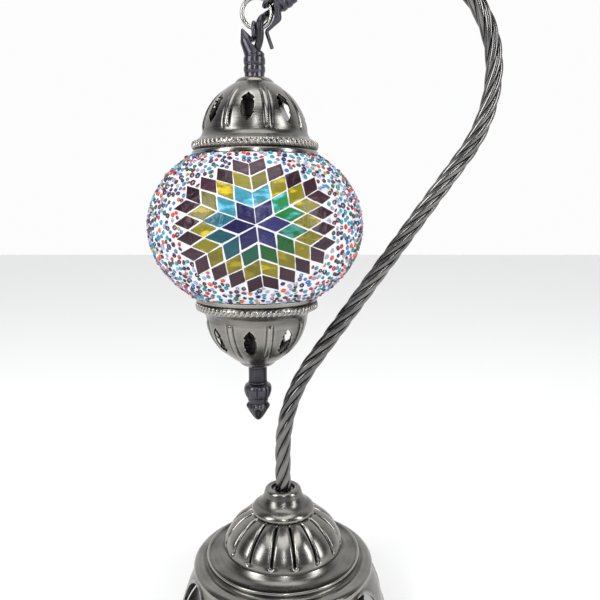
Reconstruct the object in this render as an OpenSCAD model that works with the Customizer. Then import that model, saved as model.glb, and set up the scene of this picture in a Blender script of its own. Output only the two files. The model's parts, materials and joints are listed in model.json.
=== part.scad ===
// Swan-neck mosaic table lamp: a round spun-metal base, a twisted rope arm and a
// mosaic glass lantern that hangs from the arm's end by a split ring.
// Millimetres, +Z up, origin on the base's axis at the surface it stands on.
// +X points to the side the arm bows out to; the lantern hangs on the -X side.

/* [Base] */
// Radius of the foot of the pierced skirt
foot_r = 69.5; // [66:0.5:72]
// Radius of the fluted dome at its lower edge
dome_r = 39.5; // [38:0.5:41]
// Number of lobes round the fluted dome
dome_lobes = 16; // [12:1:20]
// Number of arched windows round the skirt
skirt_windows = 6; // [5:1:6]
// Thickness of the stamped and spun sheet
sheet_t = 1.2; // [1:0.1:1.5]

/* [Arm] */
// Radius over the crests of the twisted rope tube
rope_r = 5.35; // [5.2:0.05:5.5]
// Depth of the grooves between the rope's strands
rope_groove = 1.0; // [0.6:0.1:1.2]
// Number of strands round the rope
rope_strands = 5; // [4:1:6]
// Length along the arm in which one strand goes round once
rope_lead = 66; // [55:1:80]
// Radius of the bore down the arm
arm_bore_r = 3.3; // [3.1:0.1:3.4]
// Lean of the straight stretch from the vertical, in degrees
arm_lean = 35.5; // [35:0.5:36]

/* [Lantern] */
// Distance of the lantern's axis from the base's axis
lantern_x = -16; // [-17:0.5:-15]
// Height of the globe's centre
globe_z = 262.3; // [262:0.1:263]
// Radius of the globe's glass at the equator
globe_r = 63.4; // [63:0.1:63.5]
// Half height of the globe's glass
globe_half_h = 50.8; // [50.5:0.1:51]
// Thickness of the globe's glass
globe_t = 2.4; // [2:0.1:2.6]
// Thickness of the plaster coat on the glass
plaster_t = 1.5; // [1.2:0.1:1.6]
// Thickness of the beads and tiles set on the plaster
inlay_t = 1.35; // [1:0.05:1.4]
// Number of mosaic stars round the globe
stars = 3; // [2:1:3]
// Number of tiles along a star's point
star_rings = 4; // [3:1:4]
// Edge of one mosaic tile, measured along the globe, with its grout
tile_edge = 10.9; // [9:0.1:11]
// Gap between neighbouring tiles
grout_w = 1.2; // [0.8:0.1:1.6]
// Number of pierced windows round each cap
cap_windows = 8; // [6:1:8]

/* [Hanging links] */
// Mean radius of the split ring
ring_r = 8.75; // [8.5:0.05:9]
// Radius of the split ring's wire
ring_wire_r = 1.35; // [1.2:0.05:1.35]
// Mean radius of each casting's eye
eye_r = 4.4; // [4.3:0.05:4.5]
// Radius of the metal round each casting's eye
eye_wire_r = 1.4; // [1.2:0.05:1.4]
// Radius of the flex
flex_r = 2.3; // [2:0.1:2.3]

/* [Hidden] */
$fn = 48;
gap = 0.05;                       // clearance between pieces that sit against each other

// Arm route: each entry is [length, turn in degrees], a turn to the right positive.
arm_z0 = 80;
arm_lower_bend_r = 105;
arm_upper_bend_r = 85;
arm_crook_r = 67;
arm_crook_turn = 123;
arm_tail = 24;
arm_segments = [
    [35, 0],
    [arm_lower_bend_r * arm_lean * PI / 180, arm_lean],
    [159.3, 0],
    [arm_upper_bend_r * arm_lean * PI / 180, -arm_lean],
    [arm_crook_r * arm_crook_turn * PI / 180, -arm_crook_turn],
    [arm_tail, 0]
];
arm_starts = [for (i = [0:len(arm_segments)]) sum_lengths(i)];
arm_length = arm_starts[len(arm_segments)];
arm_ring_gap = 5;                 // length of arm between the rope's rings of points
arm_points_round = 20;            // points round the rope tube
arm_rings = ceil(arm_length / arm_ring_gap);

// Arched windows of the skirt: half width, foot, spring of the arch, and the first one's place
window_half_w = 17;
window_foot_z = 9;
window_spring_z = 16.3;
window_azimuth = -36;

// Place of the mains lead's grommet, at the back
grommet_azimuth = 112.5;
grommet_z = 18;

// Split ring and the two pivots
ring_x = -14.3;
ring_z = 388;
pivot_reach = ring_r - ring_wire_r - eye_wire_r - gap;
upper_eye_angle = 42;             // where the ring passes through the arm's eye
upper_pivot_x = ring_x + pivot_reach * cos(upper_eye_angle);
upper_pivot_z = ring_z + pivot_reach * sin(upper_eye_angle);
lower_pivot_z = ring_z - sqrt(pow(pivot_reach, 2) - pow(lantern_x - ring_x, 2));

// Axis of the arm's end casting
hook_at = arm_point(arm_length);
hook_heading = arm_heading(arm_length);

// Caps: heights are measured from the rim that sits on the globe
cap_top_rim_z = 305.4;
cap_bottom_rim_z = 219.2;
cap_h = 45.3;
cap_hole_r = 5.15;
hang_z = cap_top_rim_z + cap_h;    // top of the upper cap, where the lantern's castings meet
finial_top_z = 161.8;

// Star tiles: ellipsoid radii of the tiles' faces
coat_r = globe_r + gap + plaster_t;
coat_half_h = globe_half_h + gap + plaster_t;
inlay_gap = 0.2;                  // clearance of the flat-faced inlay over the plaster
inlay_r = coat_r + inlay_gap;
inlay_half_h = coat_half_h + inlay_gap;
mouth_angle = 57.9;               // ellipse angle of the glass's two mouths
inlay_end_angle = 53.8;           // ellipse angle where the inlay stops under a cap
star_tilt = 5;                    // turn of each star's first point from straight up
star_azimuth = -86;               // where the first star's middle lies round the globe
star_rise = 3.3;                  // how far the stars' middles lie above the equator, in degrees

// Points of the flex where it crosses from the arm's casting to the lantern's
drop_route = [[-1.5, 2, 393.6], [-5.6, 4.4, 390], [-9.4, 3, 387], [-11.4, -2, 384],
    [-12.4, -4.4, 380.4], [-12.2, -3.8, 375.6], [-12.8, -2.4, 371.6], [-14.2, -1, 367.8], [-15.4, -0.2, 364.4]];
// Points of the flex inside the arm's casting, up to where it comes out
mouth_route = [[1.6, 0.4, 396], [-1.1, 1.7, 394]];
// Points of the flex from the lantern's casting down to the lampholder
holder_route = [[-15.6, -0.1, 363.8], [-16, 0, 360], [-16, 0, 352], [-16, 0, 343], [-16, 0, 334.2]];

brass = [0.45, 0.42, 0.37];
gunmetal = [0.30, 0.31, 0.34];
steel = [0.62, 0.62, 0.63];

// ---- Geometry helpers ----

// Total length of the first n arm segments
function sum_lengths(n) = n == 0 ? 0 : sum_lengths(n - 1) + arm_segments[n - 1][0];

// Heading from the vertical at the start of arm segment n
function start_heading(n) = n == 0 ? 0 : start_heading(n - 1) + arm_segments[n - 1][1];

// [x, z] reached after length s of a segment that turns through angle a over length l
function segment_step(s, l, a, h) =
    abs(a) < 0.01 ? [s * sin(h), s * cos(h)] :
    let (r = l / (a * PI / 180), b = h + a * s / l) [r * (cos(h) - cos(b)), r * (sin(b) - sin(h))];

// [x, z] at the start of arm segment n
function start_point(n) = n == 0 ? [0, arm_z0] :
    start_point(n - 1) + segment_step(arm_segments[n - 1][0], arm_segments[n - 1][0],
        arm_segments[n - 1][1], start_heading(n - 1));

// Arm segment that holds length s
function segment_at(s) =
    max([for (i = [0:len(arm_segments) - 1]) if (i == 0 || s > arm_starts[i]) i]);

// Heading from the vertical at length s; past the end the last stretch goes on straight
function arm_heading(s) = let (i = segment_at(s), g = arm_segments[i])
    start_heading(i) + (abs(g[1]) < 0.01 ? 0 : g[1] * (s - arm_starts[i]) / g[0]);

// [x, z] on the arm's centreline at length s
function arm_point(s) = let (i = segment_at(s), g = arm_segments[i])
    start_point(i) + segment_step(s - arm_starts[i], g[0], g[1], start_heading(i));

// Outline moved inwards by t, for a sheet that follows it; [radius, height] points, top first
function inset_point(p, i, t) =
    let (a = p[max(i - 1, 0)], b = p[min(i + 1, len(p) - 1)], d = b - a)
    p[i] + t / norm(d) * [-d[1], d[0]] * -1;
function sheet_outline(p, t) =
    concat(p, [for (i = [len(p) - 1:-1:0]) inset_point(p, i, t)]);

// Points of an ellipse between two angles
function ellipse_arc(a, b, from, to, n) =
    [for (i = [0:n]) let (t = from + (to - from) * i / n) [a * cos(t), b * sin(t)]];

// Shell between two ellipses, open at both mouths
module ellipse_shell(a, b, t, from, to, n) {
    rotate_extrude()
        polygon(concat(ellipse_arc(a, b, from, to, n), ellipse_arc(a - t, b - t, to, from, n)));
}

// Faces of a closed tube of rings, each ring with m points that go anticlockwise along it
function tube_faces(rings, m) = concat(
    [for (i = [0:rings - 2], j = [0:m - 1]) let (a = i * m + j, b = i * m + (j + 1) % m) [a, b + m, b]],
    [for (i = [0:rings - 2], j = [0:m - 1]) let (a = i * m + j, b = i * m + (j + 1) % m) [a, a + m, b + m]],
    [[for (j = [0:m - 1]) j]],
    [[for (j = [m - 1:-1:0]) (rings - 1) * m + j]]);

// Faces of a tube with a bore: each ring has m outer points, then m inner ones
function bored_faces(rings, m) = concat(
    [for (i = [0:rings - 2], j = [0:m - 1], k = [0, 1])
        let (a = i * 2 * m + j, b = i * 2 * m + (j + 1) % m)
        k == 0 ? [a, b + 2 * m, b] : [a, a + 2 * m, b + 2 * m]],
    [for (i = [0:rings - 2], j = [0:m - 1], k = [0, 1])
        let (a = (i * 2 + 1) * m + j, b = (i * 2 + 1) * m + (j + 1) % m)
        k == 0 ? [b, a + 2 * m, a] : [b, b + 2 * m, a + 2 * m]],
    [for (j = [0:m - 1], k = [0, 1]) let (n = (j + 1) % m)
        k == 0 ? [j, m + n, m + j] : [j, n, m + n]],
    [for (j = [0:m - 1], k = [0, 1]) let (e = (rings - 1) * 2 * m, n = (j + 1) % m)
        k == 0 ? [e + j, e + m + j, e + m + n] : [e + j, e + m + n, e + n]]);

// Unit vectors, the two directions across a direction d, and a route's direction at point i
function unit(v) = v / norm(v);
function across(d) = let (u = unit(cross(d, [0, 1, 0.01]))) [u, unit(cross(d, u))];
function route_dir(p, i) = unit(p[min(i + 1, len(p) - 1)] - p[max(i - 1, 0)]);

// Cord of radius r along a list of points
module cord(points, r, m) {
    rings = [for (i = [0:len(points) - 1], j = [0:m - 1])
        let (f = across(route_dir(points, i)), a = 360 * j / m)
        points[i] + r * (cos(a) * f[0] + sin(a) * f[1])];
    polyhedron(rings, tube_faces(len(points), m), convexity = 6);
}

// Things laid out round the Z axis
module around(n, start = 0) {
    for (i = [0:n - 1])
        rotate([0, 0, start + 360 * i / n])
            children();
}

// Hexagon nut with a round hole
module hex_nut(across_flats, h, hole_r) {
    difference() {
        cylinder(r = across_flats / sqrt(3), h = h, $fn = 6);
        translate([0, 0, -1])
            cylinder(r = hole_r, h = h + 2);
    }
}

// Tube between two radii
module ring_tube(outer_r, inner_r, h) {
    difference() {
        cylinder(r = outer_r, h = h);
        translate([0, 0, -1])
            cylinder(r = inner_r, h = h + 2);
    }
}

// Wire ring in the XZ plane
module wire_ring(r, wire_r) {
    rotate([90, 0, 0])
        rotate_extrude()
            translate([r, 0])
                circle(r = wire_r, $fn = 24);
}

// Eye of a casting, in the XY plane
module eye() {
    rotate_extrude()
        translate([eye_r, 0])
            circle(r = eye_wire_r, $fn = 24);
}

// ---- Base ----

module felt_pad() {
    color("darkgreen")
        difference() {
            cylinder(r = foot_r - 3.5, h = 1.5, $fn = 96);
            translate([0, 0, -1])
                cylinder(r = 13, h = 4);
        }
}

module base_plate() {
    color(steel)
        translate([0, 0, 1.5])
            difference() {
                cylinder(r = foot_r - 2.5, h = 1.5, $fn = 96);
                translate([0, 0, -1])
                    cylinder(r = 13, h = 4);
                around(3)
                    translate([40, 0, -1])
                        cylinder(r = 2.1, h = 4);
            }
}

module plate_screws() {
    color(steel)
        around(3)
            translate([40, 0, 0]) {
                translate([0, 0, 3.05])
                    cylinder(r = 2, h = 7);
                translate([0, 0, 1.5])
                    cylinder(r = 2.05, h = 1.6);
            }
}

module base_weight() {
    color("dimgray")
        translate([0, 0, 3.05])
            difference() {
                cylinder(r = 55, h = 19, $fn = 96);
                translate([0, 0, -1])
                    cylinder(r = 13, h = 10);
                cylinder(r = 5.1, h = 30);
                around(3)
                    translate([40, 0, -1])
                        cylinder(r = 2.05, h = 9);
            }
}

// Outside of the pierced skirt, from its top edge down to the foot
skirt_path = [[58.6, 37.2], [59.8, 33], [62.4, 27.5], [64.8, 21.5], [66.6, 15.5], [67.4, 11.5],
    [68.6, 8.8], [foot_r, 6.8], [foot_r, 4.3], [foot_r - 0.9, 3.05]];

module skirt() {
    color(brass)
        difference() {
            union() {
                rotate_extrude($fn = 96)
                    polygon(sheet_outline(skirt_path, sheet_t));
                translate([0, 0, 3.05])
                    ring_tube(foot_r - 1, foot_r - 6, 1.2);
            }
            around(skirt_windows, window_azimuth)
                skirt_window();
            rotate([0, 0, grommet_azimuth])
                translate([60, 0, grommet_z])
                    rotate([0, 90, 0])
                        cylinder(r = 4.6, h = 12);
        }
}

// Arched opening through the skirt on the +X side
module skirt_window() {
    translate([50, -window_half_w, window_foot_z])
        cube([30, 2 * window_half_w, window_spring_z - window_foot_z]);
    translate([50, 0, window_spring_z])
        rotate([0, 90, 0])
            cylinder(r = window_half_w, h = 30);
}

// Stepped rings between the dome and the skirt, from the dome's edge outwards
plinth_path = [[38.2, 50.4], [40.2, 47.6], [42.5, 45.8], [45.6, 45], [48.6, 45.4], [50.6, 46.6],
    [51.2, 45.6], [51, 43.6], [52.4, 42.3], [55, 42.2], [57.8, 41.4], [59.6, 39.6], [60, 37.8]];

module plinth() {
    color(brass)
        rotate_extrude($fn = 96)
            polygon(concat(plinth_path, [[59, 37.4], [57, 39], [54.5, 40.2], [51.6, 40.4],
                [49.4, 42], [49, 43.6], [45.4, 43], [41.6, 43.6], [38.6, 45.6], [36, 49.2]]));
}

// Radius and height of the fluted dome's face, lower edge first
dome_path = [[39.5, 49.2], [39.3, 51.5], [38.4, 54.8], [36.8, 58.4], [34.4, 62], [31, 65.6],
    [26.8, 68.9], [22, 71.4], [18, 72.4]];
flute_points = 6;                 // points across each lobe

// Depth of the groove at each point across a lobe
function flute_depth(j) = (j % flute_points == 0) ? 1.3 : 0;

module fluted_dome() {
    m = dome_lobes * flute_points;
    n = len(dome_path);
    scale_r = dome_r / dome_path[0][0];
    points = [for (i = [0:n - 1], k = [0, 1], j = [0:m - 1])
        let (a = 360 * j / m + 5, depth = (i < n - 1 ? flute_depth(j) : 0),
            r = dome_path[i][0] * scale_r - depth - k * sheet_t, z = dome_path[i][1] - k * (i / n) * sheet_t)
        [r * cos(a), r * sin(a), z]];
    color(brass)
        translate([0, 0, 1.3])
            polyhedron(points, bored_faces(n, m), convexity = 8);
}

// Outside of the neck and its collar, top first
neck_path = [[8, 89.9], [10.2, 90.2], [11.7, 89.2], [12.4, 87.2], [13.1, 84.8], [14.4, 82.3], [16.4, 80.2],
    [18.9, 78.5], [20.5, 76.8], [20.9, 75], [20, 73.7]];

module neck_collar() {
    color(brass)
        rotate_extrude($fn = 64)
            polygon(concat([[7, 89.1]], neck_path, [[18.4, 74.4], [16.2, 77.2], [13.4, 79.8], [11.8, 82.4],
                [10.9, 86.4], [9.4, 88], [7, 87.7]]));
}

module stem_tube() {
    color(steel)
        translate([0, 0, 4.5])
            ring_tube(5, 3.3, arm_z0 - 4.5);
}

module stem_washer() {
    color(steel)
        translate([0, 0, 10.8])
            ring_tube(11, 5.1, 1.2);
}

module stem_nut() {
    color(steel)
        translate([0, 0, 6])
            hex_nut(17, 4.8, 5.05);
}

// Rubber bush through the back of the skirt, where the mains lead goes in
module cord_grommet() {
    color("black")
        rotate([0, 0, grommet_azimuth])
            translate([62.8, 0, grommet_z])
                rotate([0, 90, 0])
                    difference() {
                        union() {
                            cylinder(r = 4.5, h = 6);
                            translate([0, 0, 4.9])
                                cylinder(r = 5.6, h = 1.5);
                        }
                        translate([0, 0, -1])
                            cylinder(r = 3.2, h = 8);
                    }
}

// Ring nut that holds the arm's foot in the neck
module arm_nut() {
    color(gunmetal)
        translate([0, 0, 85.3])
            ring_tube(6.9, 5.45, 3.2);
}

// ---- Arm ----

// Radius of the rope tube at angle a round it, where the strands have turned by twist
function rope_radius(a, twist) =
    rope_r - rope_groove * (1 - abs(cos(rope_strands * (a - twist) / 2)));

module arm_tube() {
    m = arm_points_round;
    points = [for (i = [0:arm_rings], k = [0, 1], j = [0:m - 1])
        let (s = arm_length * i / arm_rings, c = arm_point(s), h = arm_heading(s), a = 360 * j / m,
            r = k == 0 ? rope_radius(a, 360 * s / rope_lead) : arm_bore_r, x = r * cos(a), y = r * sin(a))
        [c[0] + x * cos(h), y, c[1] - x * sin(h)]];
    color(gunmetal)
        polyhedron(points, bored_faces(arm_rings + 1, m), convexity = 10);
}

// Places children with +Z along the arm at the end casting, and +X towards its outer side
module at_arm_end() {
    translate([hook_at[0], 0, hook_at[1]])
        rotate([0, hook_heading, 0])
            children();
}

// Socket with two bead rings, cut obliquely into a claw that ends in an eye
module arm_hook() {
    color(gunmetal)
        difference() {
            union() {
                at_arm_end()
                    translate([0, 0, -3])
                        rotate_extrude()
                            polygon([[0, 0], [6.1, 0], [6.1, 2.4], [5.9, 3], [6.6, 3.8], [6.6, 6], [5.9, 6.8],
                                [6.6, 7.6], [6.6, 9.8], [5.8, 10.6], [5.6, 12], [0, 12]]);
                hull() {
                    at_arm_end()
                        translate([0, 0, 8.4])
                            cylinder(r = 5.5, h = 0.3, $fn = 32);
                    translate([-2.6, 0, 385.4])
                        sphere(r = 3.1, $fn = 20);
                }
                hull() {
                    translate([-2.6, 0, 385.4])
                        sphere(r = 3.1, $fn = 20);
                    translate([-8.4, 0, 378])
                        sphere(r = 1.1, $fn = 16);
                }
            }
            at_arm_end()
                translate([0, 0, -4])
                    cylinder(r = 5.45, h = 4);
            at_arm_end()
                translate([0, 0, -1])
                    cylinder(r = 4.1, h = 16);
            translate([ring_x, 0, ring_z])
                rotate([90, 0, 0])
                    cylinder(r = ring_r + ring_wire_r + 0.5, h = 30, center = true, $fn = 64);
            cord([mouth_route[0], drop_route[0], drop_route[1], drop_route[2]], flex_r + 1.2, 12);
        }
    color(gunmetal)
        upper_eye();
    color(gunmetal)
        translate([-8.7, 0, 377.6])
            rotate([0, 160.7, 0])
                cylinder(r = 1.2, h = 10.5, $fn = 24);
}

// Eye of the arm's casting: the split ring passes through it
module upper_eye() {
    reach = pivot_reach + eye_r;
    translate([ring_x + reach * cos(upper_eye_angle), 0, ring_z + reach * sin(upper_eye_angle)])
        rotate([0, -upper_eye_angle, 0])
            eye();
}

// Flex inside the base, the arm and the arm's casting
module arm_flex() {
    inside = [for (s = [0:8:arm_length]) let (p = arm_point(s)) [p[0], 0, p[1]]];
    color("black")
        cord(concat([[0, 0, 20], [0, 0, 50]], inside, mouth_route), flex_r, 8);
}

// ---- Hanging links ----

module jump_ring() {
    color(steel)
        translate([ring_x, 0, ring_z])
            wire_ring(ring_r, ring_wire_r);
}

// Flex in the open between the two castings
module drop_flex() {
    color("black")
        cord(drop_route, flex_r, 8);
}

// Socket with two bead rings, cut obliquely into a claw that ends in an eye
module hanger_hook() {
    color(gunmetal)
        difference() {
            union() {
                translate([lantern_x, 0, hang_z + 0.1])
                    rotate_extrude()
                        polygon([[0, 0], [6.2, 0], [5.9, 2], [6.1, 3.2], [6.5, 4.2], [6.5, 6.4], [5.9, 7.5],
                            [6.5, 8.6], [6.5, 11.4], [5.9, 12.7], [6.2, 14.1], [0, 14.1]]);
                hull() {
                    translate([lantern_x, 0, 364.5])
                        cylinder(r = 6.1, h = 0.3, $fn = 32);
                    translate([-20.4, 0, 371.8])
                        sphere(r = 3.9, $fn = 20);
                }
                hull() {
                    translate([-20.4, 0, 371.8])
                        sphere(r = 3.9, $fn = 20);
                    translate([-23, 0, 378.6])
                        sphere(r = 0.9, $fn = 16);
                }
            }
            translate([lantern_x, 0, hang_z - 4])
                cylinder(r = 5.05, h = 8.5);
            translate([lantern_x, 0, hang_z - 4])
                cylinder(r = 4.1, h = 25.3);
            cord([for (i = [4:8]) drop_route[i]], flex_r + 0.8, 12);
        }
    color(gunmetal)
        translate([lantern_x, 0, lower_pivot_z - eye_r])
            rotate([0, 90, 0])
                eye();
}

// ---- Lantern ----

// Places children at the lantern's axis, at height z
module at_lantern(z) {
    translate([lantern_x, 0, z])
        children();
}

module hanger_nipple() {
    color(steel)
        at_lantern(hang_z - 16)
            ring_tube(5, 3.4, 20);
}

module hanger_nut() {
    color(steel)
        at_lantern(hang_z - 4.4)
            hex_nut(14, 3, 5.05);
}

module holder_flex() {
    color("black")
        cord(holder_route, flex_r, 8);
}

// Outside of a cap: radius and height above its rim, rim first
cap_path = [[38.6, 0], [38.4, 1.8], [37.3, 3.1], [38.1, 5], [37.6, 7], [36, 8.4], [33.4, 10.4], [32, 13.2],
    [31.7, 16.5], [30.8, 20.5], [28.7, 26], [25.5, 31], [22, 35], [18, 38.4], [14.4, 41], [12.3, 42.2],
    [10.8, 44], [8.6, cap_h], [cap_hole_r, cap_h]];

// Stamped cap with pierced pointed windows, rim at z = 0
module cap_shell() {
    color(brass)
        difference() {
            rotate_extrude($fn = 96)
                polygon(cap_outline());
            around(cap_windows, 22.5 * 3.8)
                cap_window();
        }
}

// Outline of the cap's sheet: the outside, then the inside a sheet's thickness in
function cap_outline() = concat(cap_path,
    [for (i = [len(cap_path) - 1:-1:0]) let (p = inset_point(cap_path, i, -sheet_t))
        [max(p[0], cap_hole_r), max(p[1], 0)]]);

// Pointed oval cut outwards through the cap on the +X side
module cap_window() {
    window_w = 7.5;
    window_h = 17;
    side_r = (pow(window_h / 2, 2) + pow(window_w / 2, 2)) / window_w;
    translate([14, 0, 25.5])
        rotate([0, 90, 0])
            intersection() {
                translate([0, side_r - window_w / 2, 0])
                    cylinder(r = side_r, h = 30);
                translate([0, window_w / 2 - side_r, 0])
                    cylinder(r = side_r, h = 30);
            }
}

module top_cap() {
    at_lantern(cap_top_rim_z)
        cap_shell();
}

module bottom_cap() {
    at_lantern(cap_bottom_rim_z)
        mirror([0, 0, 1])
            cap_shell();
}

// Three sprung arms on a hub that grip a mouth of the globe from inside
module top_clip() {
    hub_z = hang_z - 9;
    color(steel)
        at_lantern(hub_z) {
            ring_tube(10, 5.1, 1.2);
            around(3, 90)
                rotate([90, 0, 0])
                    translate([0, 0, -4])
                        linear_extrude(height = 8)
                            polygon([[9, 0], [9, 1.2], [13, 1.2], [32, -34], [32.3, -41], [31, -41], [30.8, -34.4], [12.4, 0]]);
        }
}

module bottom_clip() {
    color(steel)
        at_lantern(cap_bottom_rim_z + 5.5) {
            ring_tube(9, 2.1, 1.2);
            around(3, 30)
                translate([8, -4, 0])
                    cube([27.6, 8, 1.2]);
        }
}

module bottom_stud() {
    color(steel)
        at_lantern(finial_top_z - 11.1)
            cylinder(r = 2, h = cap_bottom_rim_z - finial_top_z + 22.4);
}

module bottom_nut() {
    color(steel)
        at_lantern(cap_bottom_rim_z + 6.8)
            hex_nut(7, 3.2, 2.02);
}

module finial_neck() {
    color(gunmetal)
        at_lantern(finial_top_z + 0.1)
            ring_tube(6.15, 2.1, cap_bottom_rim_z - cap_h - finial_top_z - 0.15);
}

module finial() {
    color(gunmetal)
        at_lantern(finial_top_z)
            difference() {
                rotate_extrude()
                    polygon([[0, 0], [6.4, 0], [8.3, -1.2], [9.1, -3.3], [8.9, -5.7], [7.8, -8.7], [6.6, -11.3],
                        [6.3, -12.9], [7.2, -14.3], [7.4, -15.7], [6.5, -17.5], [5.2, -19.7], [3.4, -22.5],
                        [1.4, -24.6], [0, -25.1]]);
                translate([0, 0, -11.2])
                    cylinder(r = 2.02, h = 20);
            }
}

// ---- Lampholder and bulb ----

module holder_cap() {
    color("black")
        at_lantern(hang_z - 22.9)
            difference() {
                cylinder(r = 13.4, h = 9);
                translate([0, 0, 4])
                    cylinder(r = 5.1, h = 10);
                translate([0, 0, -1])
                    cylinder(r = 10, h = 5);
            }
}

module holder_body() {
    color("black")
        at_lantern(hang_z - 54)
            difference() {
                cylinder(r = 12.6, h = 31);
                translate([0, 0, -1])
                    cylinder(r = 7.8, h = 29.6);
            }
}

module holder_sleeve() {
    color("gold")
        at_lantern(hang_z - 52)
            ring_tube(7.75, 7.15, 23);
}

module holder_contact() {
    color("gold")
        at_lantern(hang_z - 26.7)
            cylinder(r = 3, h = 1.2);
}

module bulb_cap() {
    color(steel)
        at_lantern(hang_z - 51)
            ring_tube(6.95, 6.5, 20);
}

module bulb_insulator() {
    color("black")
        at_lantern(hang_z - 30.95)
            difference() {
                cylinder(r = 6.9, h = 2.6);
                translate([0, 0, 1.6])
                    cylinder(r = 2.4, h = 3);
            }
}

module bulb_contact() {
    color(steel)
        at_lantern(hang_z - 29.3)
            cylinder(r = 2.35, h = 2.5);
}

// Pinch of glass that carries the filament's wires
module bulb_stem() {
    color("lightgray")
        at_lantern(hang_z - 71)
            cylinder(r = 2.2, h = 40);
}

module bulb_filament() {
    color("orange")
        at_lantern(hang_z - 76) {
            around(2) {
                translate([4, 0, 0])
                    cylinder(r = 0.4, h = 8);
                translate([2.25, 0, 7.6])
                    rotate([0, 90, 0])
                        cylinder(r = 0.35, h = 1.9);
            }
            translate([-4, 0, 0.4])
                rotate([0, 90, 0])
                    cylinder(r = 0.6, h = 8);
        }
}

// Candle-shaped glass: outline from the neck in the screw cap down to the tip
module bulb_glass() {
    color("white", 0.4)
        at_lantern(hang_z - 34)
            rotate_extrude()
                polygon([[6.4, 0], [6.4, -17], [8, -22], [12, -32], [15.6, -41], [17.4, -50], [17, -59],
                    [14.2, -68], [9.6, -75], [4.6, -79.2], [0, -80.4], [0, -79.4], [4.2, -78.2], [8.9, -74.3],
                    [13.4, -67.5], [16.1, -58.8], [16.5, -50], [14.7, -41.3], [11.1, -32.4], [7.1, -22.3],
                    [5.5, -17.2], [5.5, 0]]);
}

// ---- Globe ----

module globe_glass() {
    color("white", 0.35)
        at_lantern(globe_z)
            ellipse_shell(globe_r, globe_half_h, globe_t, -mouth_angle, mouth_angle, 24);
}

module plaster_coat() {
    color("whitesmoke")
        at_lantern(globe_z)
            ellipse_shell(coat_r, coat_half_h, plaster_t, -mouth_angle, mouth_angle, 24);
}

// Seed beads pressed in the plaster all round the stars, as one skin
module bead_coat() {
    color("lightblue")
        at_lantern(globe_z)
            difference() {
                ellipse_shell(inlay_r + inlay_t, inlay_half_h + inlay_t, inlay_t, -inlay_end_angle,
                    inlay_end_angle, 16);
                around(stars, star_azimuth)
                    rotate([0, 90, 0])
                        linear_extrude(height = 100)
                            polygon(star_outline());
            }
}

// Outline round a whole star's outer corners, seen along the star's axis
star_margin = 1.03;
function star_outline() =
    [for (k = [0:5], i = [0:star_rings - 1])
        let (p = star_margin * tile_corner(star_rings - i, i + 1, k, 1)) [-p[2], p[1]]];

// Angle along the globe from a star's centre to the far corner of its nth ring of tiles
function tile_reach(n) = n * tile_edge / inlay_r * 180 / PI;

// Direction of a point at [u, v] tile edges along two neighbouring points of a star
function star_direction(u, v, k) = let (e = 60 * k + star_tilt,
        p = u * [cos(e), sin(e)] + v * [cos(e + 60), sin(e + 60)], t = norm(p) * tile_reach(1))
    norm(p) < 0.001 ? [1, 0, 0] : [cos(t), sin(t) * -p[1] / norm(p), sin(t) * p[0] / norm(p)];

// A direction raised by the stars' rise above the equator
function risen(d) = [d[0] * cos(star_rise) - d[2] * sin(star_rise), d[1],
    d[0] * sin(star_rise) + d[2] * cos(star_rise)];

// A tile's corner on the inlay's inner face (lift 0) or outer face (lift 1)
function tile_corner(u, v, k, lift) = let (d = risen(star_direction(u, v, k)))
    [d[0] * (inlay_r + lift * inlay_t), d[1] * (inlay_r + lift * inlay_t), d[2] * (inlay_half_h + lift * inlay_t)];

// One rhombic tile in the sector after point k, with its near corner at [a, b]
module tile(a, b, k) {
    g = grout_w / tile_edge / 2 * 1.15;
    corners = [[a + g, b + g], [a + 1 - g, b + g], [a + 1 - g, b + 1 - g], [a + g, b + 1 - g]];
    polyhedron(
        [for (lift = [0.3, 1], c = corners) tile_corner(c[0], c[1], k, lift)],
        [[0, 1, 2], [0, 2, 3], [4, 6, 5], [4, 7, 6], [0, 4, 5], [0, 5, 1], [1, 5, 6], [1, 6, 2], [2, 6, 7],
            [2, 7, 3], [3, 7, 4], [3, 4, 0]]);
}

// Every tile of ring n, in all the stars
module tile_ring(n) {
    at_lantern(globe_z)
        around(stars, star_azimuth)
            for (k = [0:5], a = [0:n - 1])
                tile(a, n - 1 - a, k);
}

module tiles_indigo() {
    color([0.10, 0.12, 0.42])
        tile_ring(1);
}

module tiles_teal() {
    color([0.12, 0.45, 0.60])
        tile_ring(2);
}

module tiles_gold() {
    color([0.62, 0.60, 0.10])
        tile_ring(3);
}

module tiles_plum() {
    color([0.25, 0.06, 0.14])
        tile_ring(star_rings);
}

felt_pad();
base_plate();
plate_screws();
base_weight();
skirt();
plinth();
fluted_dome();
neck_collar();
stem_tube();
stem_washer();
stem_nut();
cord_grommet();
arm_nut();
arm_tube();
arm_hook();
arm_flex();
jump_ring();
drop_flex();
hanger_hook();
hanger_nipple();
hanger_nut();
top_cap();
top_clip();
holder_flex();
holder_cap();
holder_body();
holder_sleeve();
holder_contact();
bulb_cap();
bulb_insulator();
bulb_contact();
bulb_stem();
bulb_filament();
bulb_glass();
globe_glass();
plaster_coat();
bead_coat();
tiles_indigo();
tiles_teal();
tiles_gold();
tiles_plum();
bottom_cap();
bottom_clip();
bottom_stud();
bottom_nut();
finial_neck();
finial();
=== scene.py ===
# %% [markdown]
# # A swan-neck mosaic lamp
# The lamp is a spun metal base, a twisted rope arm and a glass lantern that hangs from the arm
# by a split ring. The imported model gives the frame: every piece below takes its place from it.

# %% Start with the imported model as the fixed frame
import json
import math
import random

import bpy
import numpy as np
from mathutils import Matrix, Vector

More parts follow.
